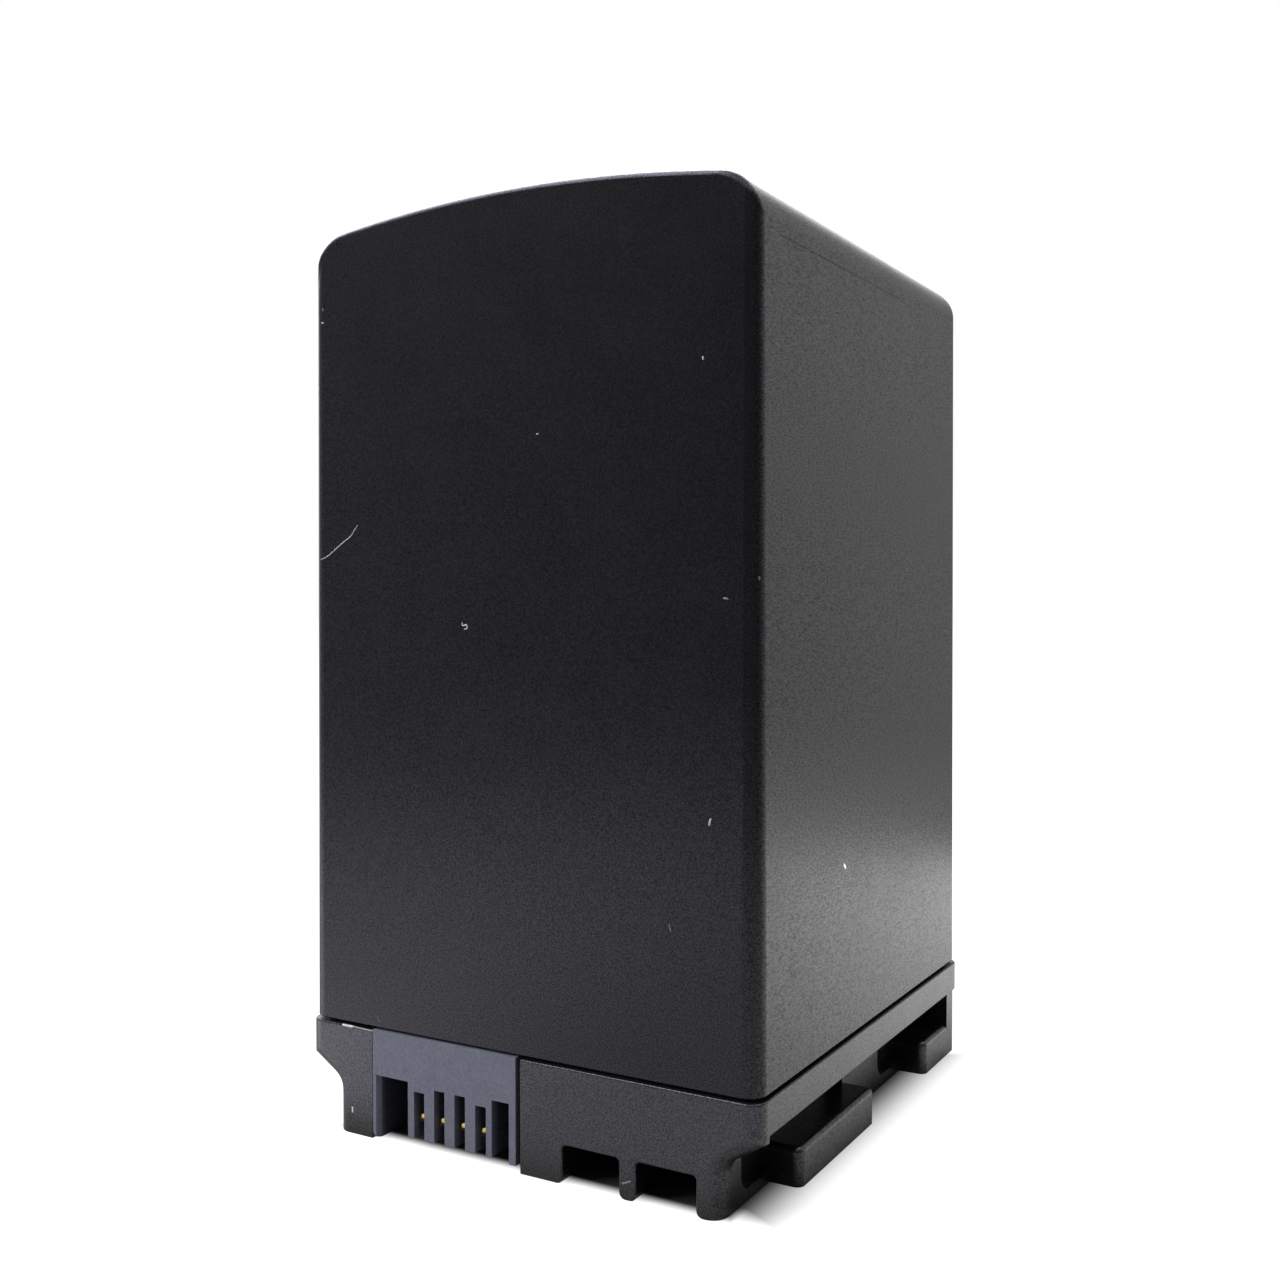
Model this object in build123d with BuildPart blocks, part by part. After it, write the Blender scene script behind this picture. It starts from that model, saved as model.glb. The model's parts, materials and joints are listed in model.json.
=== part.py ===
from build123d import *
from math import radians, tan
import os

# Camera battery pack, in millimetres. X runs along the front, Y from the front to the back, Z up.
# The origin is at the middle of the underside.

# Cells
cell_width = 26.8
cell_length = 28.2
cell_thickness = 8.5
cell_count = 5
cell_edge = 3.6
cell_end_edge = 0.3
button_width = 5.0
button_height = 2.4
button_rise = 0.5

# Layers around the cells
tape_thickness = 0.3
tape_inset = 3.0
strip_thickness = 0.2
strip_width = 4.0
strip_overrun = 2.0
paper_thickness = 0.2
paper_inset = 1.4
spacer_thickness = 0.8
pad_thickness = 2.1
pad_width = 10.0
pad_length = 18.0
pad_clearance = 0.05

# Upper case
case_wall = 1.3
case_side_clearance = 0.5
case_end_clearance = 0.65
case_draft = 0.27
case_corner = 1.0
cavity_corner = 0.5
case_lower_edge = 0.08
arch_radius = 88.0
arch_corner = 2.7
arch_edge = 0.35
corner_crease = 0.02

# Seam between the case and the base
seam_gap = 0.15
seam_depth = 0.6
base_lip = 0.15
tongue_thickness = 1.0
tongue_height = 0.84
tongue_clearance = 0.1

# Mounting base
base_height = 6.56
band_height = 1.98
base_edge = 0.1
band_edge = 0.15
rail_overhang = 2.18
shoulder_drop = 1.63
shoulder_rise = 1.37
shoulder_root = 1.0
shoulder_margin = 0.1
web_margin = 0.2
foot_edge = 0.4
rim_edge = 0.15
lip_height = 2.2
lip_inset = 0.35
lip_edge = 0.5
lip_rim = 0.35
front_lip_start = 6.15
front_lip_length = 11.45
front_lip_lead = 3.8
rear_lip_length = 6.35
rear_lip_lead = 4.3
rear_wall = 1.55
pocket_depth = 0.7
pocket_floor = 0.76
pocket_corner = 1.0
pocket_end = 0.8
tray_floor = 1.2
tray_wall = 1.1
tray_shoulder = 1.24

# Key notches in the base's front
notch_height = 2.22
notch_depth = 5.5
notch_edge = 0.25
notch_wall = 1.0
middle_leg = 2.79
notch_leg = 1.07
right_leg = 1.53

# Terminal block
left_leg = 2.87
block_width = 10.44
block_depth = 4.45
block_top_rise = 0.05
block_left_gap = 0.04
block_right_gap = 0.32
block_back_gap = 0.1
block_left_wall = 0.5
block_right_wall = 0.46
block_left_foot = 0.12
block_right_foot = 0.43
block_foot_edge = 0.4
block_lead_in = 0.25
fin_foot = 0.62
slot_depth = 3.5
slot_count = 4
slot_width = 0.76
slot_pitch = 1.49
outer_slot_top = 3.39
inner_slot_top = 3.72
wide_slot_top = 3.9
left_wide_slot = 2.19
left_fin = 0.46
right_fin = 0.4
key_depth = 0.7
key_reach = 0.6
key_setback = 1.25
key_foot = 1.6
key_clearance = 0.05

# Sprung contacts
leaf_thickness = 0.12
leaf_height = 0.45
leaf_foot = 1.48
leaf_clearance = 0.02
leaf_bend = 0.15
leaf_straight = 1.2
leaf_tip_setback = 0.45
leaf_pinch_setback = 0.85
leaf_pinch_gap = 0.1
leaf_tip_gap = 0.36
tail_width = 0.5
tail_slit_clearance = 0.03
tail_rise = 0.16

# Protection circuit
board_thickness = 0.8
board_height = 4.4
board_side_clearance = 0.3
board_back_clearance = 0.4
board_front_gap = 0.62
post_size = 1.6
strip_foot_length = 1.5
positive_strip_place = 6.0
strip_groove_clearance = 0.1
chip_width = 4.4
chip_length = 3.0
chip_height = 1.0
lead_count = 4
lead_pitch = 0.65
lead_width = 0.3
lead_reach = 0.7
lead_thickness = 0.15
transistor_spacing = 6.0
fuse_width = 3.2
fuse_length = 1.6
fuse_height = 0.8
thermistor_width = 1.6
thermistor_length = 0.8
thermistor_height = 0.8
chip_part_width = 1.0
chip_part_length = 0.5
chip_part_height = 0.5
chip_part_rows = 3
chip_part_columns = 2
chip_part_spacing = 1.6
control_chip_left = 5.9
control_chip_front = 13.8
transistor_right = 7.4
transistor_front = 15.8
fuse_left = 5.9
fuse_back = 4.9
thermistor_right = 2.4
thermistor_front = 12.8
chip_parts_left = 5.9
chip_parts_front = 6.8

# Closeness at which an edge counts as lying on a face
touch = 0.01

# Sizes that follow from those above
front_stack = strip_thickness + paper_thickness
back_stack = button_rise + strip_thickness + paper_thickness
stack_length = cell_length + front_stack + back_stack
case_width = cell_width + 2 * (case_side_clearance + case_wall)
case_depth = stack_length + 2 * (case_end_clearance + case_wall)
base_width = case_width + 2 * base_lip
base_depth = case_depth + 2 * base_lip
case_bottom = base_height + seam_gap
tongue_top = base_height + tongue_height
stack_bottom = tongue_top + spacer_thickness
cell_pitch = cell_thickness + tape_thickness
stack_top = stack_bottom + cell_count * cell_pitch - tape_thickness
ceiling_radius = arch_radius - case_wall
pad_sagitta = ceiling_radius - (ceiling_radius ** 2 - pad_width ** 2 / 4) ** 0.5
case_top = stack_top + pad_thickness + pad_clearance + pad_sagitta + case_wall
band_bottom = base_height - band_height
shoulder_height = band_bottom - shoulder_drop
shoulder_edge = case_corner + shoulder_margin
web_depth = case_corner + web_margin
front = -base_depth / 2
back = base_depth / 2
web_back = front + web_depth
core_width = base_width - 2 * rail_overhang
lip_reach = base_width / 2 - lip_inset
tongue_width = case_width - 2 * (case_wall + tongue_clearance)
tongue_depth = case_depth - 2 * (case_wall + tongue_clearance)
tray_top_width = tongue_width - 2 * tongue_thickness
tray_depth = tongue_depth - 2 * tongue_thickness
tray_width = core_width - 2 * (pocket_depth + tray_wall)
cell_front = -stack_length / 2 + front_stack
cell_back = cell_front + cell_length
cell_middle = (cell_front + cell_back) / 2
block_top = base_height + block_top_rise
recess_left = -core_width / 2 + left_leg
block_left = recess_left + block_left_gap
block_right = block_left + block_width
recess_right = block_right + block_right_gap
block_back = front + block_depth
slot_back = front + slot_depth
slots_right = block_right - block_right_wall
slots_left = block_left + block_left_wall
board_front = block_back + board_front_gap
board_back = tray_depth / 2 - board_back_clearance
board_width = tray_width - 2 * board_side_clearance
board_left = -board_width / 2
board_right = board_width / 2
board_top = board_height + board_thickness
notch_width = (core_width / 2 - recess_right - middle_leg - notch_leg - right_leg) / 2
notch_centres = [
    core_width / 2 - right_leg - notch_width / 2 - step * (notch_width + notch_leg)
    for step in (1, 0)
]
fan_width = slot_pitch * (slot_count - 1) + slot_width
right_wide_slot = slots_right - slots_left - fan_width - left_wide_slot - left_fin - right_fin
first_slot = slots_left + left_wide_slot + left_fin + slot_width / 2
slot_centres = [first_slot + slot_pitch * step for step in range(slot_count)]
slot_tops = [outer_slot_top, inner_slot_top, inner_slot_top, outer_slot_top]
front_plane = Plane.XZ.offset(-front)
front_lip_end = front + front_lip_start + front_lip_length
rear_lip_start = back - rear_lip_length
pocket_wall = core_width / 2 - pocket_depth
lips = [
    (front + front_lip_start, front_lip_end, front_lip_lead, front_lip_end - pocket_end, True),
    (rear_lip_start, back - rear_wall, rear_lip_lead, back - rear_wall, False),
]

os.makedirs("parts", exist_ok=True)


def write(piece, name):
    """Labels a finished piece and writes it."""
    piece.label = name
    export_step(piece, f"parts/{name}.step")


def arched_body(inset, corner, crease):
    """The case's form with drafted sides and an arched top, inset on all sides but the bottom."""
    width = case_width - 2 * inset
    depth = case_depth - 2 * inset
    top = case_top - inset
    radius = arch_radius - inset
    reach = width / 2 + crease
    side_top = top - radius + (radius ** 2 - reach ** 2) ** 0.5
    with BuildPart() as body:
        with BuildSketch(Plane.XY.offset(case_bottom)):
            RectangleRounded(width, depth, corner)
        extrude(amount=top - case_bottom, taper=case_draft)
        lean = crease - (side_top - case_bottom) * tan(radians(case_draft))
        with BuildSketch(Plane.XZ) as profile:
            with BuildLine():
                Polyline(
                    (-width / 2 - lean, side_top),
                    (-width / 2 - crease, case_bottom),
                    (width / 2 + crease, case_bottom),
                    (width / 2 + lean, side_top),
                )
                ThreePointArc((width / 2 + lean, side_top), (0, top), (-width / 2 - lean, side_top))
            make_face()
            fillet(profile.vertices().group_by(Axis.Y)[-1], radius=arch_corner - inset)
        extrude(amount=depth, both=True, mode=Mode.INTERSECT)
    return body.part


def box_between(low, high, mode=Mode.ADD):
    """A box from its lowest corner to its highest, added to or cut from the part being built."""
    size = [top - bottom for bottom, top in zip(low, high)]
    middle = [(top + bottom) / 2 for bottom, top in zip(low, high)]
    with Locations(tuple(middle)):
        Box(*size, mode=mode)


# Upper case
case_cavity = arched_body(case_wall, cavity_corner, 0)
with BuildPart() as upper_case:
    add(arched_body(0, case_corner, corner_crease))
    arch_rim = upper_case.faces().filter_by(GeomType.CYLINDER).edges()
    fillet(arch_rim.filter_by(GeomType.LINE, reverse=True), radius=arch_edge)
    chamfer(upper_case.faces().sort_by(Axis.Z)[0].edges(), length=case_lower_edge)
    add(case_cavity, mode=Mode.SUBTRACT)
write(upper_case.part, "upper_case")


def rail_lip(side, lip_start, lip_end, open_end):
    """One lip of the rails, rounded at its free ends and along its outer rim."""
    inner = side * pocket_wall
    outer = side * lip_reach
    with BuildPart() as lip:
        box_between((min(inner, outer), lip_start, 0), (max(inner, outer), lip_end, lip_height))
        free_edges = lip.edges().filter_by(lambda edge: abs(edge.center().X) > pocket_wall + touch)
        uprights = free_edges.filter_by(Axis.Z).sort_by(Axis.Y)
        fillet(uprights if open_end else uprights[:1], radius=lip_edge)
        rim = lip.faces().sort_by(Axis.Z)[-1].edges()
        rim = rim.filter_by(lambda edge: abs(edge.center().X) > pocket_wall + touch)
        if not open_end:
            rim = rim.filter_by(lambda edge: edge.center().Y < lip_end - touch)
        fillet(rim, radius=lip_rim)
    return lip.part


# Band of the mounting base, behind its front web
with BuildPart() as band:
    with BuildSketch(Plane.XY.offset(band_bottom)):
        RectangleRounded(base_width, base_depth, case_corner)
        with Locations((0, web_back)):
            Rectangle(base_width, base_depth, align=(Align.CENTER, Align.MIN), mode=Mode.INTERSECT)
    extrude(amount=band_height)
    lower_rim = band.faces().sort_by(Axis.Z)[0].edges()
    fillet(lower_rim.filter_by(lambda edge: edge.center().Y > web_back + touch), radius=band_edge)

# Mounting base: the front web with its shoulders, then the core, the rear wall and the band
with BuildPart() as mounting_base:
    with BuildSketch(front_plane) as web:
        with BuildLine():
            Polyline(
                (-core_width / 2, 0),
                (core_width / 2, 0),
                (core_width / 2, shoulder_height),
                (base_width / 2, shoulder_height + shoulder_rise),
                (base_width / 2, base_height),
                (-base_width / 2, base_height),
                (-base_width / 2, shoulder_height + shoulder_rise),
                (-core_width / 2, shoulder_height),
                close=True,
            )
        make_face()
        roots, bends = web.vertices().group_by(Axis.Y)[1:3]
        fillet(roots, radius=shoulder_root)
        fillet(bends, radius=shoulder_edge)
    extrude(amount=-web_depth)
    front_edges = mounting_base.edges().filter_by(lambda edge: edge.center().Y < front + touch)
    side_rims = front_edges.filter_by(lambda edge: abs(edge.center().X) > core_width / 2 - touch)
    fillet(side_rims, radius=case_corner)
    with BuildSketch(Plane.XY):
        with Locations((0, web_back)):
            Rectangle(core_width, back - web_back, align=(Align.CENTER, Align.MIN))
        with Locations((0, back)):
            Rectangle(2 * lip_reach, rear_wall, align=(Align.CENTER, Align.MAX))
        RectangleRounded(base_width, base_depth, case_corner, mode=Mode.INTERSECT)
    extrude(amount=band_bottom + band_edge)
    add(band.part)
    fillet(mounting_base.faces().sort_by(Axis.Z)[-1].edges(), radius=base_edge)

    # Undercut pockets and the lips below them, on both sides
    for side in (-1, 1):
        for lip_start, lip_end, lead, pocket_back, open_end in lips:
            with BuildSketch(Plane.YZ.offset(side * core_width / 2)) as pocket:
                with BuildLine():
                    Polyline(
                        (lip_start - lead, band_bottom),
                        (lip_start - lead, pocket_floor),
                        (pocket_back, pocket_floor),
                        (pocket_back, band_bottom),
                        close=True,
                    )
                make_face()
                fillet(pocket.vertices().group_by(Axis.Y)[0].sort_by(Axis.X)[0], radius=pocket_corner)
            extrude(amount=-side * pocket_depth, mode=Mode.SUBTRACT)
            add(rail_lip(side, lip_start, lip_end, open_end))

    # Seam ridge, the tongue inside the case, and the tray below it
    with BuildSketch(Plane.XY.offset(base_height)):
        RectangleRounded(case_width - 2 * seam_depth, case_depth - 2 * seam_depth, cavity_corner)
    extrude(amount=seam_gap)
    with BuildSketch(Plane.XY.offset(base_height)):
        RectangleRounded(tongue_width, tongue_depth, cavity_corner)
    extrude(amount=tongue_height)
    with BuildSketch(Plane.XY.offset(band_bottom + tray_shoulder)):
        Rectangle(tray_top_width, tray_depth)
    extrude(amount=tongue_top - band_bottom - tray_shoulder, mode=Mode.SUBTRACT)
    with BuildSketch(Plane.XY.offset(tray_floor)):
        Rectangle(tray_width, tray_depth)
    extrude(amount=tongue_top - tray_floor, mode=Mode.SUBTRACT)

    # Key notches, roofed inside the tray
    roof_left = notch_centres[0] - notch_width / 2 - notch_wall
    roof_back = front + notch_depth + notch_wall
    box_between(
        (roof_left, -tray_depth / 2, tray_floor),
        (tray_width / 2, roof_back, notch_height + notch_wall),
    )
    with BuildSketch(front_plane) as notches:
        for centre in notch_centres:
            with Locations((centre, 0)):
                Rectangle(notch_width, 2 * notch_height)
        fillet(notches.vertices().group_by(Axis.Y)[-1], radius=notch_edge)
    extrude(amount=-notch_depth, mode=Mode.SUBTRACT)

    # Recess for the terminal block, with a groove on each side for its keys
    recess_back = block_back + block_back_gap
    box_between((recess_left, front, 0), (recess_right, recess_back, block_top), Mode.SUBTRACT)
    groove_front = front + key_setback - key_clearance
    groove_back = front + key_setback + key_depth + key_clearance
    groove_reach = key_reach + key_clearance
    box_between(
        (recess_left - groove_reach, groove_front, key_foot),
        (recess_right + groove_reach, groove_back, block_top),
        Mode.SUBTRACT,
    )

    # Posts under the circuit board
    for side in (-1, 1):
        for post_front in (board_front, board_back - post_size):
            wall = side * tray_width / 2
            inner = wall - side * post_size
            box_between(
                (min(wall, inner), post_front, tray_floor),
                (max(wall, inner), post_front + post_size, board_height),
            )

    # Grooves that let the two strips down past the tongue
    for place, near, far in (
        (positive_strip_place, cell_front - strip_thickness - strip_groove_clearance, -tray_depth / 2),
        (0, tray_depth / 2, cell_back + button_rise + strip_thickness + strip_groove_clearance),
    ):
        half = strip_width / 2 + strip_groove_clearance
        box_between((place - half, near, board_top), (place + half, far, tongue_top), Mode.SUBTRACT)

    # Rounded feet beside the notches, and a rounded rim along the front's lower edge
    notch_feet = mounting_base.edges().filter_by(Axis.Y).filter_by(
        lambda edge: abs(edge.center().Z) < touch
        and edge.center().Y < front + notch_depth
        and recess_right + touch < edge.center().X < core_width / 2 - touch
    )
    fillet(notch_feet, radius=foot_edge)
    notch_rim = mounting_base.edges().filter_by(Axis.Z).filter_by(
        lambda edge: edge.center().Y < front + touch
        and recess_right + touch < edge.center().X < core_width / 2 - touch
    )
    fillet(notch_rim, radius=rim_edge)
write(mounting_base.part, "mounting_base")

# Terminal block: a comb of slots in front of a solid back
with BuildPart() as terminal_block:
    with BuildSketch(front_plane) as comb:
        with BuildLine():
            Polyline(
                (block_left, block_left_foot),
                (slots_left, block_left_foot),
                (slots_left, fin_foot),
                (slots_right, fin_foot),
                (slots_right, block_right_foot),
                (block_right, block_right_foot),
                (block_right, block_top),
                (block_left, block_top),
                close=True,
            )
        make_face()
        fillet(comb.vertices().group_by(Axis.Y)[0].sort_by(Axis.X)[0], radius=block_foot_edge)
        for low, high, top in (
            (slots_left, slots_left + left_wide_slot, wide_slot_top),
            (slots_right - right_wide_slot, slots_right, wide_slot_top),
        ):
            with Locations(((low + high) / 2, 0)):
                Rectangle(high - low, 2 * top, mode=Mode.SUBTRACT)
        for centre, top in zip(slot_centres, slot_tops):
            with Locations((centre, 0)):
                Rectangle(slot_width, 2 * top, mode=Mode.SUBTRACT)
    extrude(amount=-slot_depth)
    lead_in = terminal_block.edges().filter_by(Axis.Z).filter_by(
        lambda edge: abs(edge.center().X - slots_left) < touch and edge.center().Y < front + touch
    )
    chamfer(lead_in, length=block_lead_in)
    box_between((block_left, slot_back, fin_foot), (block_right, block_back, block_top))
    for low, high in (
        (block_left - key_reach, block_left),
        (block_right, recess_right + key_reach),
    ):
        box_between(
            (low, front + key_setback, key_foot),
            (high, front + key_setback + key_depth, block_top),
        )
    for centre in slot_centres:
        slit = tail_width / 2 + tail_slit_clearance
        box_between(
            (centre - slit, slot_back, leaf_foot + tail_rise - tail_slit_clearance),
            (centre + slit, block_back, leaf_foot + tail_rise + leaf_thickness + tail_slit_clearance),
            Mode.SUBTRACT,
        )
write(terminal_block.part, "terminal_block")


def contact(centre):
    """A sprung contact: two leaves that pinch a blade, and a tail that runs up to the board."""
    half = slot_width / 2 - leaf_clearance - leaf_thickness / 2
    bridge = slot_back - leaf_thickness / 2
    pinch = (leaf_pinch_gap + leaf_thickness) / 2
    tip = (leaf_tip_gap + leaf_thickness) / 2
    path = [
        (half, bridge),
        (half, bridge - leaf_straight),
        (pinch, front + leaf_pinch_setback),
        (tip, front + leaf_tip_setback),
    ]
    right = [(centre + across, along) for across, along in path]
    left = [(centre - across, along) for across, along in path]
    tail_height = leaf_foot + tail_rise + leaf_thickness / 2
    tail_back = board_front - leaf_thickness / 2
    with BuildPart() as piece:
        with BuildSketch(Plane.XY.offset(leaf_foot)):
            with BuildLine():
                FilletPolyline(*reversed(left), *right, radius=leaf_bend)
            trace(line_width=leaf_thickness)
        extrude(amount=leaf_height)
        with BuildSketch(Plane.YZ.offset(centre - tail_width / 2)):
            with BuildLine():
                FilletPolyline(
                    (bridge, tail_height),
                    (tail_back, tail_height),
                    (tail_back, board_top),
                    radius=leaf_bend,
                )
            trace(line_width=leaf_thickness)
        extrude(amount=tail_width)
    return piece.part


for centre, role in zip(slot_centres, ("positive", "data", "thermistor", "negative")):
    write(contact(centre), f"contact_{role}")

# Cells, with adhesive tape between them
for number in range(1, cell_count + 1):
    cell_bottom = stack_bottom + (number - 1) * cell_pitch
    with BuildPart() as cell:
        with BuildSketch(Plane.XZ.offset(-cell_front)):
            with Locations((0, cell_bottom + cell_thickness / 2)):
                RectangleRounded(cell_width, cell_thickness, cell_edge)
        extrude(amount=-cell_length)
        ends = cell.faces().filter_by(Axis.Y).edges()
        fillet(ends, radius=cell_end_edge)
        with BuildSketch(Plane.XZ.offset(-cell_back)):
            with Locations((0, cell_bottom + cell_thickness / 2)):
                Rectangle(button_width, button_height)
        extrude(amount=-button_rise)
    write(cell.part, f"cell_{number}")
for number in range(1, cell_count):
    tape_bottom = stack_bottom + number * cell_pitch - tape_thickness
    with BuildPart() as tape:
        with BuildSketch(Plane.XY.offset(tape_bottom)):
            with Locations((0, cell_middle)):
                Rectangle(cell_width - 2 * (cell_edge + tape_inset), cell_length - 2 * tape_inset)
        extrude(amount=tape_thickness)
    write(tape.part, f"cell_tape_{number}")

# Spacer below the cells and foam pad above them
strip_front = cell_front - strip_thickness
strip_back = cell_back + button_rise + strip_thickness
with BuildPart() as cell_spacer:
    with BuildSketch(Plane.XY.offset(tongue_top)):
        with Locations((0, cell_middle)):
            Rectangle(cell_width, cell_length)
    extrude(amount=spacer_thickness)
write(cell_spacer.part, "cell_spacer")
with BuildPart() as top_pad:
    with BuildSketch(Plane.XY.offset(stack_top)):
        Rectangle(pad_width, pad_length)
    extrude(amount=pad_thickness)
write(top_pad.part, "top_pad")


def strip(face, place, toward):
    """A nickel strip down one end of the stack, with a foot on the board. toward is the board's side."""
    top = stack_top - cell_thickness / 2 + strip_overrun
    middle = face - toward * strip_thickness / 2
    foot_level = board_top + strip_thickness / 2
    edge = board_front if toward > 0 else board_back
    with BuildPart() as piece:
        with BuildSketch(Plane.YZ.offset(place - strip_width / 2)):
            with BuildLine():
                FilletPolyline(
                    (middle, top),
                    (middle, foot_level),
                    (edge + toward * strip_foot_length, foot_level),
                    radius=strip_thickness,
                )
            trace(line_width=strip_thickness)
        extrude(amount=strip_width)
    return piece.part


write(strip(cell_front, positive_strip_place, 1), "positive_strip")
write(strip(cell_back + button_rise, 0, -1), "negative_strip")

# Insulating papers outside the strips
for name, near in (("front_insulator", strip_front - paper_thickness), ("back_insulator", strip_back)):
    with BuildPart() as paper:
        box_between(
            (-cell_width / 2 + paper_inset, near, stack_bottom + paper_inset),
            (cell_width / 2 - paper_inset, near + paper_thickness, stack_top - paper_inset),
        )
    write(paper.part, name)

# Circuit board and the parts soldered below it
with BuildPart() as circuit_board:
    box_between(
        (board_left, board_front, board_height),
        (board_right, board_back, board_top),
    )
write(circuit_board.part, "circuit_board")


def leaded_chip(spot):
    """A small moulded chip with a row of leads on each side, hung below the board."""
    across, along = spot
    level = board_height - chip_height
    with BuildPart() as piece:
        box_between(
            (across - chip_width / 2, along - chip_length / 2, level),
            (across + chip_width / 2, along + chip_length / 2, board_height - lead_thickness),
        )
        with Locations((across, along, board_height - lead_thickness / 2)):
            with GridLocations(chip_width + lead_reach, lead_pitch, 2, lead_count):
                Box(2 * lead_reach, lead_width, lead_thickness)
            Box(chip_width, chip_length, lead_thickness)
    return piece.part


write(leaded_chip((board_left + control_chip_left, board_front + control_chip_front)), "control_chip")
with BuildPart() as switch_transistors:
    for shift in (-transistor_spacing / 2, transistor_spacing / 2):
        add(leaded_chip((board_right - transistor_right, board_front + transistor_front + shift)))
write(switch_transistors.part, "switch_transistors")
fuse_spot = (board_left + fuse_left, board_back - fuse_back)
thermistor_spot = (board_right - thermistor_right, board_front + thermistor_front)
for name, spot, size in (
    ("fuse", fuse_spot, (fuse_width, fuse_length, fuse_height)),
    ("thermistor", thermistor_spot, (thermistor_width, thermistor_length, thermistor_height)),
):
    with BuildPart() as chip:
        with Locations((*spot, board_height)):
            Box(*size, align=(Align.CENTER, Align.CENTER, Align.MAX))
    write(chip.part, name)
with BuildPart() as chip_parts:
    with Locations((board_left + chip_parts_left, board_front + chip_parts_front, board_height)):
        with GridLocations(chip_part_spacing, chip_part_spacing, chip_part_columns, chip_part_rows):
            Box(
                chip_part_width,
                chip_part_length,
                chip_part_height,
                align=(Align.CENTER, Align.CENTER, Align.MAX),
            )
write(chip_parts.part, "chip_parts")
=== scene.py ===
import json
import math
import random

import bmesh
import bpy
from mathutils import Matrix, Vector


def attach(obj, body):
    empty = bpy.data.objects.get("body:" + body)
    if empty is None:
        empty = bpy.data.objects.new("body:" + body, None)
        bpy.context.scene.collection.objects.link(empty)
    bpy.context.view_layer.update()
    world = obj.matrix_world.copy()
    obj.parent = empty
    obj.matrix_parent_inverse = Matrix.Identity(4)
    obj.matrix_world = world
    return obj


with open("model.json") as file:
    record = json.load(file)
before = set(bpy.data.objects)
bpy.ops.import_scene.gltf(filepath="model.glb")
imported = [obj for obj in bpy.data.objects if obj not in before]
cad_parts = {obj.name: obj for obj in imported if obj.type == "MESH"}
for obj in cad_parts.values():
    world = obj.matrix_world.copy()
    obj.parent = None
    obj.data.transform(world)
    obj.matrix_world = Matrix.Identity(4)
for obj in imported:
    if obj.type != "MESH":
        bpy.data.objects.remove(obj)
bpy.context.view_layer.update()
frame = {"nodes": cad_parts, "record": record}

MM = 0.001
WHITE = (1, 1, 1, 1)
FULL = (0, 1)

# Camera, as fitted to the photograph, and the size of its pixel on the pack's front
PICTURE = 1280
PIXEL = 0.061 * MM
FOCAL_PIXELS = 1393.353
SENSOR = 36.0
CLIP_NEAR = 0.005
CLIP_FAR = 10
UPRIGHT = math.radians(90)
CAMERA_PLACE = Vector((45.1016, -80.8675, 32.5127)) * MM
CAMERA_TURN = math.radians(29.8943)
CAMERA_TILT = math.radians(-1.6986)

camera_data = bpy.data.cameras.new("camera")
camera_data.sensor_width = SENSOR
camera_data.lens = FOCAL_PIXELS / PICTURE * SENSOR
camera_data.clip_start = CLIP_NEAR
camera_data.clip_end = CLIP_FAR
camera = bpy.data.objects.new("camera", camera_data)
camera.location = CAMERA_PLACE
camera.rotation_euler = (UPRIGHT + CAMERA_TILT, 0, CAMERA_TURN)
bpy.context.scene.collection.objects.link(camera)
bpy.context.scene.camera = camera
bpy.context.scene.view_settings.view_transform = "Standard"
bpy.context.view_layer.update()
camera_turn = camera.matrix_world.to_quaternion()


def mm(*lengths):
    """Lengths in millimetres, as metres."""
    return tuple(length * MM for length in lengths)


def land(host, spot):
    """Place and normal where the line of sight through a picture point meets a piece."""
    x, y = spot
    centre = PICTURE / 2
    ray = camera_turn @ Vector(((x - centre) / FOCAL_PIXELS, (centre - y) / FOCAL_PIXELS, -1))
    back = host.matrix_world.inverted()
    aim = (back.to_3x3() @ ray).normalized()
    found, place, normal, _ = host.ray_cast(back @ CAMERA_PLACE, aim)
    if not found:
        raise ValueError(f"no piece at picture point {spot}")
    return host.matrix_world @ place, (host.matrix_world.to_3x3() @ normal).normalized()


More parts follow.
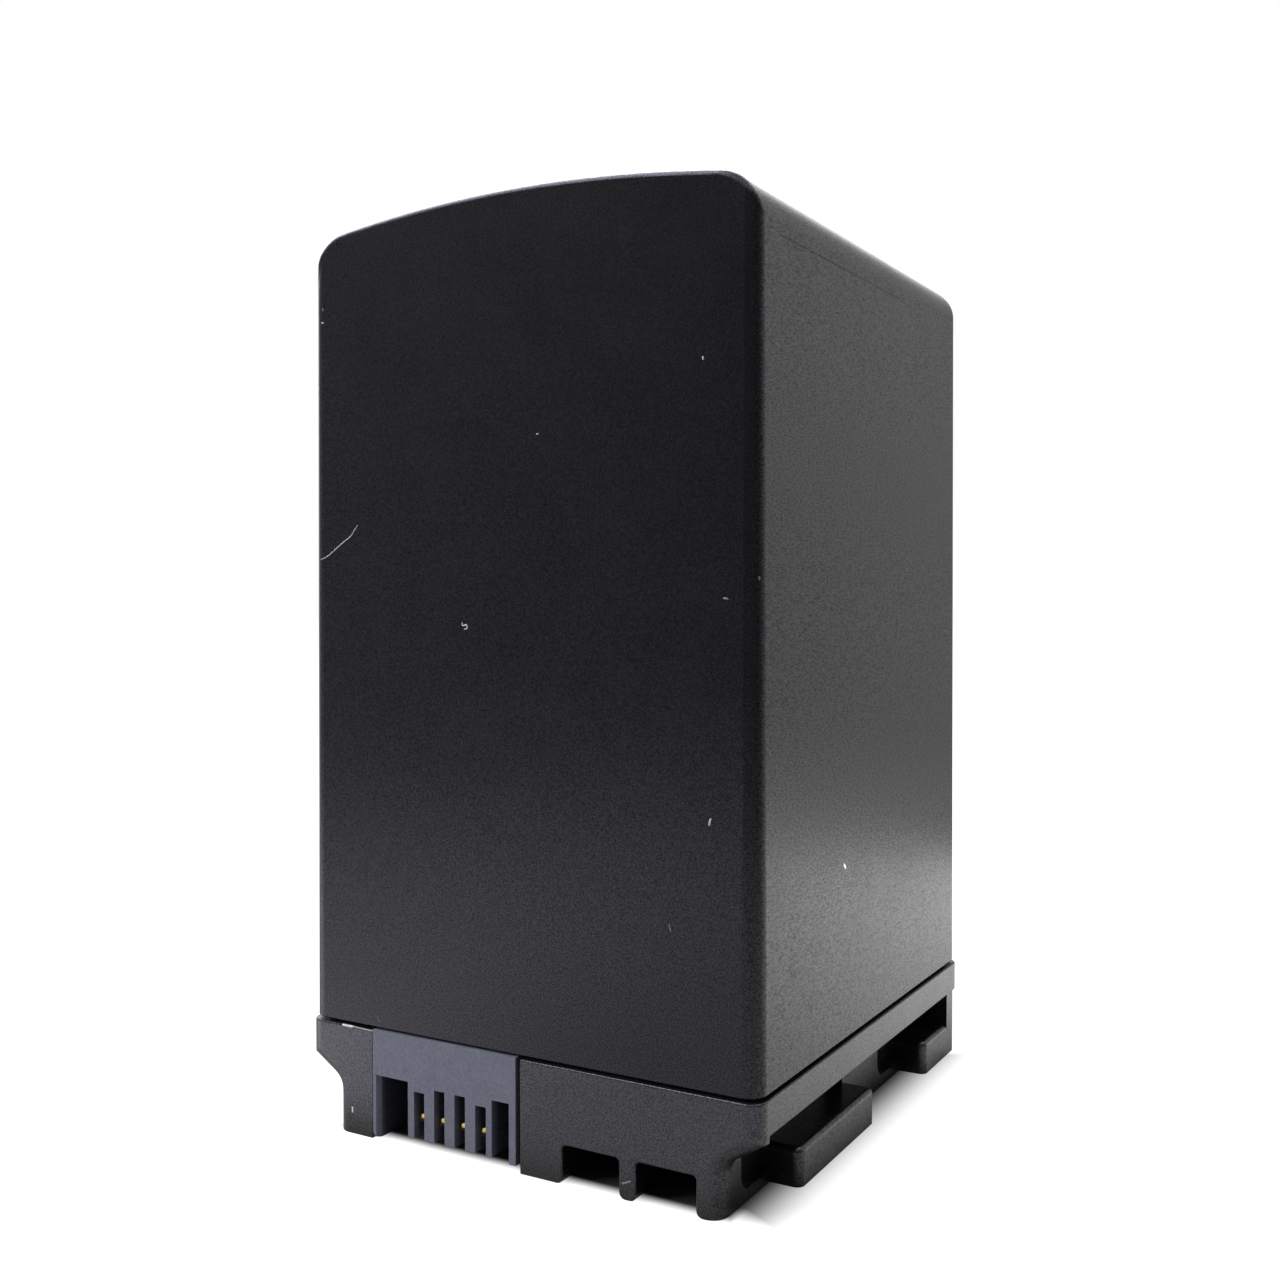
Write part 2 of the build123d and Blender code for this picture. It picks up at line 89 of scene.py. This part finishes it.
class Graph:
    """Short names for building a node tree."""

    # A Mix node's sockets for its first and second value and its result
    MIX_SOCKETS = {"FLOAT": (2, 3, 0), "RGBA": (6, 7, 2)}

    def __init__(self, tree):
        self.tree = tree
        tree.nodes.clear()

    def node(self, kind, inputs=None, **settings):
        made = self.tree.nodes.new(kind)
        for name, value in settings.items():
            setattr(made, name, value)
        for name, value in (inputs or {}).items():
            self.put(made.inputs[name], value)
        return made

    def put(self, socket, value):
        if isinstance(value, bpy.types.NodeSocket):
            self.tree.links.new(value, socket)
        else:
            socket.default_value = value

    def join(self, operation, *values):
        """Values joined by one operation, from left to right."""
        result = values[0]
        for value in values[1:]:
            made = self.node("ShaderNodeMath", {0: result, 1: value}, operation=operation)
            result = made.outputs[0]
        return result

    def vector(self, operation, inputs, output="Vector"):
        return self.node("ShaderNodeVectorMath", inputs, operation=operation).outputs[output]

    def span(self, value, source, target=FULL, smooth=False):
        """A value taken from one range to another, and held at their ends."""
        return self.node(
            "ShaderNodeMapRange",
            dict(enumerate((value, *source, *target))),
            interpolation_type="SMOOTHSTEP" if smooth else "LINEAR",
        ).outputs[0]

    def mix(self, share, one, two, kind="RGBA"):
        first, second, result = self.MIX_SOCKETS[kind]
        made = self.node("ShaderNodeMix", {0: share, first: one, second: two}, data_type=kind)
        return made.outputs[result]

    def noise(self, place, size, detail, roughness=0.5):
        return self.node(
            "ShaderNodeTexNoise",
            {"Vector": place, "Scale": 1 / size, "Detail": detail, "Roughness": roughness},
        ).outputs["Fac"]

    def place(self, kind="Object"):
        return self.node("ShaderNodeTexCoord").outputs[kind]

    def drawn_out(self, place, scale):
        return self.node("ShaderNodeMapping", {"Vector": place, "Scale": scale}).outputs[0]

    def axes(self, place):
        return self.node("ShaderNodeSeparateXYZ", {"Vector": place}).outputs

    def bump(self, shader, height, strength, depth):
        made = self.node(
            "ShaderNodeBump", {"Height": height, "Strength": strength, "Distance": depth}
        )
        self.put(shader.inputs["Normal"], made.outputs["Normal"])

    def show(self, shader, kind="ShaderNodeOutputMaterial"):
        self.put(self.node(kind).inputs["Surface"], shader.outputs[0])


def grey(level, tint=(1, 1, 1)):
    return tuple(level * part for part in tint) + (1,)


def new_material(name):
    material = bpy.data.materials.new(name)
    material.use_nodes = True
    return material, Graph(material.node_tree)


def new_surface(name):
    material, graph = new_material(name)
    shader = graph.node("ShaderNodeBsdfPrincipled")
    graph.show(shader)
    return material, graph, shader, graph.place()


# The middle part of a noise's range, which most of it falls in
NOISE_RANGE = (0.3, 0.7)

# Moulded plastics: a fine eroded texture over broad patches, its gloss drawn out from front to back
GRAIN_DRAW = (1, 0.3, 1)
GRAIN_BUMP = 0.5
FINE_DETAIL = 3
FINE_SHARE = 0.6
BROAD_DETAIL = 4
BROAD_SHARE = 0.4
TEXTURE_ROUGHNESS = 0.6
SPECK_DETAIL = 1
TONE_RANGE = (0.35, 0.65)
SHEEN_RANGE = (0.4, 1.6)
# Painted shade: how dark a slot's inside is painted, as a share of the plastic's darker tone
PAINTED_SLOT_TONE = 0.35
MARK_EDGE = (0.6, 0.3)


def line_mask(graph, place, start, end, width):
    """1 along a thin straight line between two places, fading at its sides."""
    along = end - start
    aim = along / along.length_squared
    offset = graph.vector("SUBTRACT", {0: place, 1: start})
    share = graph.span(graph.vector("DOT_PRODUCT", {0: offset, 1: aim}, "Value"), FULL)
    nearest = graph.vector("SCALE", {0: along, "Scale": share})
    gap = graph.vector("DISTANCE", {0: offset, 1: nearest}, "Value")
    return graph.span(gap, tuple(edge * width for edge in MARK_EDGE))


def moulded(name, tones, rough, gloss, grain, depth, tint, patch=4 * MM, marks=(), painted_slot_shade=None):
    material, graph, shader, place = new_surface(name)
    dark, light = tones
    fine = graph.noise(place, grain, FINE_DETAIL, TEXTURE_ROUGHNESS)
    broad = graph.noise(place, patch, BROAD_DETAIL, TEXTURE_ROUGHNESS)
    speck = graph.noise(graph.drawn_out(place, GRAIN_DRAW), grain, SPECK_DETAIL)
    blend = graph.join(
        "ADD",
        graph.join("MULTIPLY", fine, FINE_SHARE),
        graph.join("MULTIPLY", broad, BROAD_SHARE),
    )
    colour = graph.mix(graph.span(blend, TONE_RANGE), grey(dark, tint), grey(light, tint))
    shine = graph.span(speck, NOISE_RANGE, tuple(share * gloss for share in SHEEN_RANGE))
    for host, first, last, width, level, sheen in marks:
        start, end = (land(host, spot)[0] for spot in (first, last))
        mask = line_mask(graph, place, start, end, width * PIXEL)
        colour = graph.mix(mask, colour, grey(level))
        shine = graph.join("MULTIPLY", shine, graph.span(mask, FULL, (1, sheen)))
    # Painted shade: the colour grows darker deeper into the slots, over the given span along Y
    if painted_slot_shade:
        slot_shade_share = graph.span(graph.axes(place)["Y"], painted_slot_shade)
        colour = graph.mix(slot_shade_share, colour, grey(PAINTED_SLOT_TONE * dark, tint))
    graph.put(shader.inputs["Base Color"], colour)
    graph.put(shader.inputs["Roughness"], graph.span(broad, NOISE_RANGE, rough))
    graph.put(shader.inputs["Specular IOR Level"], shine)
    graph.bump(shader, fine, GRAIN_BUMP, depth)
    return material


STREAK_DRAW = (1, 0.06, 1)
STREAK_DETAIL = 3
STREAK_ROUGHNESS = 0.6
STREAK_BUMP = 0.2
STREAK_DEPTH = 0.003 * MM


def metal(name, dark, light, rough, streak):
    material, graph, shader, place = new_surface(name)
    stretched = graph.drawn_out(place, STREAK_DRAW)
    lines = graph.noise(stretched, streak, STREAK_DETAIL, STREAK_ROUGHNESS)
    colour = graph.mix(graph.span(lines, NOISE_RANGE), dark, light)
    graph.put(shader.inputs["Base Color"], colour)
    graph.put(shader.inputs["Roughness"], graph.span(lines, NOISE_RANGE, rough))
    graph.bump(shader, lines, STREAK_BUMP, STREAK_DEPTH)
    shader.inputs["Metallic"].default_value = 1
    return material


MOTTLE_DETAIL = 4
MOTTLE_ROUGHNESS = 0.65
MOTTLE_BUMP = 0.3
MOTTLE_DEPTH = 0.01 * MM


def mottled(name, dark, light, rough, size):
    material, graph, shader, place = new_surface(name)
    spots = graph.noise(place, size, MOTTLE_DETAIL, MOTTLE_ROUGHNESS)
    colour = graph.mix(graph.span(spots, NOISE_RANGE), dark, light)
    graph.put(shader.inputs["Base Color"], colour)
    graph.bump(shader, spots, MOTTLE_BUMP, MOTTLE_DEPTH)
    shader.inputs["Roughness"].default_value = rough
    return material


# Thin marks by picture points: on a piece, from, to, width in pixels, tone, share of the sheen
case = frame["nodes"]["upper_case"]
base = frame["nodes"]["mounting_base"]
CASE_MARKS = (
    (case, (377.5, 1016.5), (379.5, 1022), 1.0, 0.1, 1.0),
    # Painted shade: a thin dark, less glossy line on the right side where the top rounding begins
    (case, (780, 234.5), (898, 298), 1.8, 0.006, 0.4),
)
BASE_MARKS = (
    (base, (352.4, 1107.5), (352.4, 1111.5), 1.8, 0.85, 1.0),
    (base, (622.5, 1183.3), (630, 1181.5), 1.4, 0.3, 1.0),
    (base, (343.5, 1024.2), (352.5, 1026.2), 3.0, 0.85, 1.0),
    (base, (352.5, 1026.2), (372, 1030.8), 1.2, 0.4, 1.0),
)

COOL_BLACK = (1, 0.98, 1.1)
BLUE_GREY = (0.9, 0.94, 1.2)
# Painted shade: the span along Y over which the block's slots are painted darker inside
PAINTED_SLOT_SPAN = mm(-16.75, -16.2)
materials = {
    "case_plastic": moulded(
        "case_plastic", tones=(0.006, 0.010), rough=(0.24, 0.28), gloss=0.26,
        grain=0.085 * MM, depth=0.012 * MM, tint=COOL_BLACK, marks=CASE_MARKS,
    ),
    "base_plastic": moulded(
        "base_plastic", tones=(0.010, 0.018), rough=(0.24, 0.30), gloss=0.50,
        grain=0.08 * MM, depth=0.012 * MM, tint=COOL_BLACK, marks=BASE_MARKS,
    ),
    "block_plastic": moulded(
        "block_plastic", tones=(0.165, 0.225), rough=(0.5, 0.62), gloss=0.26,
        grain=0.16 * MM, depth=0.02 * MM, tint=BLUE_GREY, patch=1.2 * MM, painted_slot_shade=PAINTED_SLOT_SPAN,
    ),
}

# Metals: darker colour, lighter colour, range of roughness, size of the streaks
METALS = {
    "contact_gold": ((0.9, 0.77, 0.46, 1), (1.0, 0.95, 0.72, 1), (0.12, 0.2), 0.3 * MM),
    "cell_can": ((0.52, 0.53, 0.55, 1), (0.72, 0.73, 0.75, 1), (0.28, 0.42), 0.3 * MM),
    "nickel": ((0.55, 0.53, 0.49, 1), (0.74, 0.72, 0.67, 1), (0.25, 0.38), 0.2 * MM),
    "glint": ((0.85, 0.85, 0.84, 1), (0.98, 0.98, 0.97, 1), (0.3, 0.4), 0.1 * MM),
}
for name, values in METALS.items():
    materials[name] = metal(name, *values)

# Matt stuffs: darker colour, lighter colour, roughness, size of the mottle
MATT = {
    "tape": ((0.7, 0.65, 0.5, 1), (0.82, 0.78, 0.65, 1), 0.45, 0.8 * MM),
    "spacer_plastic": ((0.62, 0.62, 0.6, 1), (0.74, 0.74, 0.72, 1), 0.5, 0.6 * MM),
    "foam": ((0.05, 0.05, 0.055, 1), (0.13, 0.13, 0.14, 1), 0.9, 0.35 * MM),
    "insulating_paper": ((0.46, 0.53, 0.46, 1), (0.6, 0.67, 0.59, 1), 0.8, 0.4 * MM),
    "board": ((0.02, 0.14, 0.05, 1), (0.05, 0.24, 0.1, 1), 0.4, 0.9 * MM),
    "chip_resin": ((0.02, 0.02, 0.02, 1), (0.04, 0.04, 0.04, 1), 0.6, 0.2 * MM),
    "chip_ceramic": ((0.5, 0.4, 0.3, 1), (0.68, 0.58, 0.48, 1), 0.5, 0.3 * MM),
    "dust": ((0.5, 0.49, 0.46, 1), (0.8, 0.79, 0.76, 1), 0.7, 0.1 * MM),
    "faint_dust": ((0.16, 0.16, 0.15, 1), (0.3, 0.3, 0.29, 1), 0.7, 0.1 * MM),
}
for name, values in MATT.items():
    materials[name] = mottled(name, *values)

for row in frame["record"]["subparts"]:
    node = frame["nodes"][row["node"]]
    node.data.materials.clear()
    node.data.materials.append(materials[row["material_slot"]])

# Dust and a hair, laid on the case where each picture point falls
DUST_SINK = 0.004 * MM
DUST_STEPS = 6
DUST_ARC = 6
DUST_TIP = 0.35
DUST_SWELL = 0.5
DUST_UNEVEN = (0.85, 1.15)
DUST_HEIGHT = {"dust": 0.5, "faint_dust": 0.5, "glint": 0.12}
draw = random.Random(7)


def smooth_path(spots):
    """Points of a Catmull-Rom curve through picture points."""
    knots = [Vector(spot) for spot in spots]
    knots = [2 * knots[0] - knots[1]] + knots + [2 * knots[-1] - knots[-2]]
    path = []
    for a, b, c, d in zip(knots, knots[1:], knots[2:], knots[3:]):
        for step in range(DUST_STEPS):
            t = step / DUST_STEPS
            bend = (2 * a - 5 * b + 4 * c - d) * t * t + (3 * b - a - 3 * c + d) * t ** 3
            path.append(0.5 * (2 * b + (c - a) * t + bend))
    return path + [knots[-2]]


def thread(name, host, spots, width, height, material):
    """A crowned strip along picture points, narrow at its ends, sunk a little into its host."""
    landed = [land(host, spot) for spot in smooth_path(spots)]
    last = len(landed) - 1
    built = bmesh.new()
    rings = []
    for number, (place, normal) in enumerate(landed):
        ahead = landed[min(number + 1, last)][0] - landed[max(number - 1, 0)][0]
        across = normal.cross(ahead).normalized()
        share = number / last
        fullness = math.sin(math.pi * share) ** DUST_SWELL
        swell = (DUST_TIP + (1 - DUST_TIP) * fullness) * draw.uniform(*DUST_UNEVEN)
        ring = []
        for step in range(DUST_ARC + 1):
            turn = math.pi * step / DUST_ARC
            aside = across * (math.cos(turn) * width * swell / 2)
            above = normal * (math.sin(turn) * height * swell - DUST_SINK)
            ring.append(built.verts.new(place + aside + above))
        rings.append(ring)
    for one, two in zip(rings, rings[1:]):
        for step in range(DUST_ARC + 1):
            after = (step + 1) % (DUST_ARC + 1)
            built.faces.new((one[step], one[after], two[after], two[step]))
    built.faces.new(rings[0])
    built.faces.new(rings[-1])
    bmesh.ops.recalc_face_normals(built, faces=built.faces)
    mesh = bpy.data.meshes.new(name)
    built.to_mesh(mesh)
    built.free()
    mesh.materials.append(material)
    made = bpy.data.objects.new(name, mesh)
    bpy.context.scene.collection.objects.link(made)
    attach(made, "root")


# Name, stuff, width in pixels, picture points
HAIR = ((320.5, 560), (328, 556), (336, 549), (345, 541), (351, 536), (354, 531), (358, 525))
CURL = ((462, 622.5), (463, 625.5), (466.5, 625), (467.5, 628), (464, 629.5))
for name, stuff, pixels, spots in (
    ("hair", "dust", 1.3, HAIR),
    ("curl", "dust", 1.6, CURL),
    ("fleck_1", "dust", 2.2, ((711, 818.5), (710, 822), (709.5, 826))),
    ("fleck_2", "faint_dust", 1.6, ((669, 924), (670, 928), (671.5, 932.5))),
    ("fleck_3", "dust", 1.8, ((703, 356), (703, 358), (703.5, 360))),
    ("fleck_4", "dust", 1.6, ((536, 434), (537.5, 434), (538.5, 433.5))),
    ("fleck_5", "faint_dust", 1.8, ((723, 598), (726, 598.5), (729, 599))),
    ("fleck_6", "faint_dust", 1.8, ((759, 576), (759.5, 578), (759.5, 580.5))),
    ("fleck_7", "glint", 3.4, ((843.8, 864), (845, 866), (846, 868.5))),
    ("fleck_8", "dust", 1.8, ((321.5, 323), (322.5, 323), (324, 323))),
    ("fleck_9", "faint_dust", 1.8, ((322.5, 308.5), (323, 310), (323, 311.5))),
):
    width = pixels * PIXEL
    height = DUST_HEIGHT[stuff] * width
    thread(name, case, spots, width, height, materials[stuff])


def stage_mesh(name, points, faces):
    mesh = bpy.data.meshes.new(name)
    mesh.from_pydata(points, [], faces)
    made = bpy.data.objects.new(name, mesh)
    bpy.context.scene.collection.objects.link(made)
    material, graph = new_material(name)
    mesh.materials.append(material)
    return made, graph


# Floor: pale paper that is seen as white, with a painted shadow: under and just beside the pack it
# is darker and glows less, for the camera and for the pack's gloss. The ranges for the right, left,
# end and corner say where the painted shadow fades out, and GLOSS_ values how bright the pack's
# gloss shows it.
FLOOR_HALF = 1.5
FLOOR_CORNERS = ((-1, -1), (1, -1), (1, 1), (-1, 1))
FLOOR_SHADOW_TONE = 0.05
FLOOR_TONE = 0.35
FLOOR_SEEN = 1.0
SHADOW_FADE_RIGHT = mm(12.7, 17.0)
SHADOW_FADE_LEFT = mm(-12.9, -13.6)
SHADOW_FADE_END = mm(15.4, 16.75)
SHADOW_CORNER_X = mm(13, 13.6)
SHADOW_CORNER_Y = mm(13.9, 16.5)
LEFT_X = mm(-5, -28)
LEFT_Y = mm(-45, -24)
LEFT_FADE = (0.5, 1)
GLOSS_LEFT = 1.5
FRONT_START = mm(-16, -23)
FRONT_Y = mm(-42, -24)
GLOSS_FRONT = (0.82, 0.9)
FRONT_TINT = (0.96, 0.94, 1.12, 1)
REAR_Y = mm(-8, 60)
GLOSS_REAR = (0.85, 2.0)
BESIDE_X = mm(15, 20)
BESIDE_FADE = (0.3, 1)
LEG_X = mm(13, 13.5)
LEG_Y = mm(-7, -11)
GLOSS_LEG = 0.17


def make_floor():
    points = [(x * FLOOR_HALF, y * FLOOR_HALF, 0) for x, y in FLOOR_CORNERS]
    _, graph = stage_mesh("floor", points, [(0, 1, 2, 3)])
    place = graph.place()
    spot = graph.axes(place)
    from_middle = graph.axes(graph.vector("ABSOLUTE", {0: place}))["Y"]
    # Painted shadow: its corner by the front right leg, fading out over the corner ranges
    corner = graph.join(
        "MULTIPLY",
        graph.span(from_middle, SHADOW_CORNER_Y, smooth=True),
        graph.span(spot["X"], SHADOW_CORNER_X),
    )
    outside_shadow = graph.join(
        "MAXIMUM",
        graph.span(spot["X"], SHADOW_FADE_RIGHT, smooth=True),
        graph.span(spot["X"], SHADOW_FADE_LEFT),
        graph.span(from_middle, SHADOW_FADE_END, smooth=True),
        corner,
    )

    leftward = graph.join(
        "MULTIPLY",
        graph.span(spot["X"], LEFT_X, (0, GLOSS_LEFT)),
        graph.span(spot["Y"], LEFT_Y, LEFT_FADE),
    )
    gloss_front = graph.join("ADD", leftward, graph.span(spot["Y"], FRONT_Y, GLOSS_FRONT))
    gloss_rear = graph.join(
        "MULTIPLY",
        graph.span(spot["Y"], REAR_Y, GLOSS_REAR),
        graph.span(spot["X"], BESIDE_X, BESIDE_FADE),
    )
    before = graph.span(spot["Y"], FRONT_START, smooth=True)
    by_leg = graph.join(
        "MULTIPLY",
        graph.span(spot["Y"], LEG_Y, (0, GLOSS_LEG)),
        graph.span(spot["X"], LEG_X),
    )
    gloss = graph.join(
        "MULTIPLY",
        graph.mix(before, gloss_rear, gloss_front, "FLOAT"),
        graph.join("MAXIMUM", outside_shadow, by_leg),
    )

    path = graph.node("ShaderNodeLightPath").outputs
    looked_at = graph.join("MAXIMUM", path["Is Camera Ray"], path["Is Transmission Ray"])
    lift = graph.join(
        "ADD",
        graph.join("MULTIPLY", looked_at, outside_shadow, FLOOR_SEEN),
        graph.join("MULTIPLY", path["Is Glossy Ray"], gloss),
    )
    cool = graph.join("MULTIPLY", path["Is Glossy Ray"], before)
    # Painted shadow: the paper's tone drops to its shadow tone where the painted shadow lies
    tone = graph.span(outside_shadow, FULL, (FLOOR_SHADOW_TONE, FLOOR_TONE))
    paper = graph.node("ShaderNodeBsdfDiffuse", {"Color": graph.mix(tone, grey(0), grey(1))})
    glow = graph.node(
        "ShaderNodeEmission", {"Color": graph.mix(cool, WHITE, FRONT_TINT), "Strength": lift}
    )
    graph.show(graph.node("ShaderNodeAddShader", {0: paper.outputs[0], 1: glow.outputs[0]}))


# Tent: a round wall that only the pack's gloss shows. Ranges along X and Y are shares of its
# radius, ranges along Z are heights in metres, and each level adds to the wall's light.
TENT_CENTRE = Vector((-0.007, -0.02, 0))
TENT_RADIUS = 0.12
TENT_HEIGHT = 0.4
TENT_SIDES = 96
BACKWARD_Y = (-0.2, 0.9)
FRONT_LEVEL = 0.13
LEFTWARD_X = (0.1, -1.0)
LEFT_LEVEL = 0.5
FRONT_Z = (0.03, 0.08)
FRONT_FADE = (1.0, 0.85)
CORNER_X = (0, 0.5)
CORNER_LEVEL = 0.14
RIGHTWARD_X = (0.3, 0.7)
RIGHT_LEVEL = 0.5
BACK_LEVEL = 0.24
BACK_Z = (0.02, 0.08)
BACK_FADE = (0.9, 1.3)
SKIRT_X = (0.33, 0.5)
SKIRT_Z = (0.016, 0.006)
SKIRT_LEVEL = 0.35
GLARE_X = (0.25, -0.3)
GLARE_Z = (0.03, 0.09)
GLARE_FADE = (0.2, 1)
GLARE_LEVEL = 3.2
TOP_Z = (0.12, 0.18)
TOP_LEVEL = 2.0
SOFTBOX_X = (-0.2, -0.5)
SOFTBOX_Z = (0.15, 0.19)
SOFTBOX_LEVEL = 5.5


def make_tent():
    turns = [2 * math.pi * step / TENT_SIDES for step in range(TENT_SIDES)]
    points = [
        (math.cos(turn) * TENT_RADIUS, math.sin(turn) * TENT_RADIUS, height)
        for height in (0.0, TENT_HEIGHT)
        for turn in turns
    ]
    sides = [(step, (step + 1) % TENT_SIDES) for step in range(TENT_SIDES)]
    faces = [(one, two, TENT_SIDES + two, TENT_SIDES + one) for one, two in sides]
    tent, graph = stage_mesh("tent", points, faces)
    tent.location = TENT_CENTRE
    tent.visible_camera = False
    tent.visible_diffuse = False
    tent.visible_transmission = False
    tent.visible_shadow = False

    axes = graph.axes(graph.place())

    def along(axis, shares, target=FULL, smooth=False):
        return graph.span(axes[axis], tuple(share * TENT_RADIUS for share in shares), target, smooth)

    def upward(heights, target=FULL, smooth=False):
        return graph.span(axes["Z"], heights, target, smooth)

    backward = along("Y", BACKWARD_Y, smooth=True)
    leftward = along("X", LEFTWARD_X, smooth=True)
    front = graph.join("ADD", FRONT_LEVEL, graph.join("MULTIPLY", leftward, LEFT_LEVEL))
    rear = graph.join("ADD", along("X", RIGHTWARD_X, (0, RIGHT_LEVEL)), BACK_LEVEL)
    level = graph.join(
        "ADD",
        graph.join("MULTIPLY", front, upward(FRONT_Z, FRONT_FADE)),
        along("X", CORNER_X, (0, CORNER_LEVEL)),
        graph.join("MULTIPLY", backward, rear, upward(BACK_Z, BACK_FADE)),
        graph.join(
            "MULTIPLY", backward, upward(SKIRT_Z, (0, SKIRT_LEVEL), smooth=True), along("X", SKIRT_X)
        ),
        graph.join(
            "MULTIPLY",
            along("X", GLARE_X, (0, GLARE_LEVEL), smooth=True),
            upward(GLARE_Z, GLARE_FADE),
            backward,
        ),
        upward(TOP_Z, (0, TOP_LEVEL), smooth=True),
        graph.join(
            "MULTIPLY",
            upward(SOFTBOX_Z, (0, SOFTBOX_LEVEL), smooth=True),
            along("X", SOFTBOX_X, smooth=True),
        ),
    )
    shade = graph.mix(backward, FRONT_TINT, WHITE)
    graph.show(graph.node("ShaderNodeEmission", {"Color": shade, "Strength": level}))


# World: white where it is seen, and a soft sky that is darker low down and to the right
WORLD_LEVEL = (0.12, 0.55)
WORLD_X = (-0.5, 0.6)
WORLD_FADE = (1, 0.25)


def make_world():
    world = bpy.data.worlds.new("studio")
    bpy.context.scene.world = world
    world.use_nodes = True
    graph = Graph(world.node_tree)
    aim = graph.axes(graph.place("Generated"))
    sky = graph.join(
        "MULTIPLY",
        graph.span(aim["Z"], FULL, WORLD_LEVEL),
        graph.span(aim["X"], WORLD_X, WORLD_FADE),
    )
    path = graph.node("ShaderNodeLightPath").outputs
    seen = graph.join(
        "MAXIMUM", path["Is Camera Ray"], path["Is Glossy Ray"], path["Is Transmission Ray"]
    )
    light = {"Color": WHITE, "Strength": graph.span(seen, FULL, (sky, 1))}
    graph.show(graph.node("ShaderNodeBackground", light), "ShaderNodeOutputWorld")


# Soft lamps: name, place, side in metres, watts
LAMPS = (
    ("overhead", (-0.1, -0.05, 0.55), 0.5, 1.3),
    ("key", (-0.42, -0.36, 0.3), 0.3, 2.6),
)
LAMP_AIM = Vector((0, 0, 0.02))


def make_lamp(name, place, size, watts):
    data = bpy.data.lights.new(name, "AREA")
    data.size = size
    data.energy = watts
    made = bpy.data.objects.new(name, data)
    made.location = place
    made.rotation_euler = (LAMP_AIM - Vector(place)).to_track_quat("-Z", "Y").to_euler()
    made.visible_glossy = False
    bpy.context.scene.collection.objects.link(made)


make_floor()
make_tent()
make_world()
for lamp in LAMPS:
    make_lamp(*lamp)
